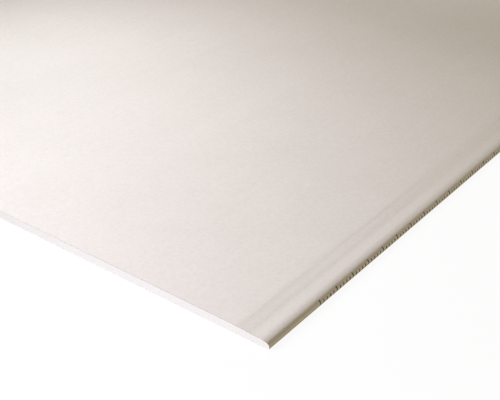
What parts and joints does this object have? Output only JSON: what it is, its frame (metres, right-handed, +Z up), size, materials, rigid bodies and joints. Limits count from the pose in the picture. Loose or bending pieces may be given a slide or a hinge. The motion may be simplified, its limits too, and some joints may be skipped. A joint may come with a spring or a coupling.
{
  "type": "drywall sheet",
  "caption": "Flat gypsum plasterboard sheet: paper-faced core with half-round tapered long edges and sawn square ends, for lining walls and ceilings.",
  "frame": {"origin": "centre of the sheet's footprint, on the underside of the back paper", "axes": "+X along the sheet's length, +Y across its width, +Z up out of its face"},
  "size_m": [2, 1.25, 0.0125],
  "materials": {
    "gypsum": "matt white sawn gypsum",
    "face_liner": "smooth matt ivory liner paper",
    "back_liner": "rough grey-brown recycled liner paper"
  },
  "bodies": {
    "root": {"gypsum_core": "gypsum", "face_paper": "face_liner", "back_paper": "back_liner"}
  },
  "joints": []
}
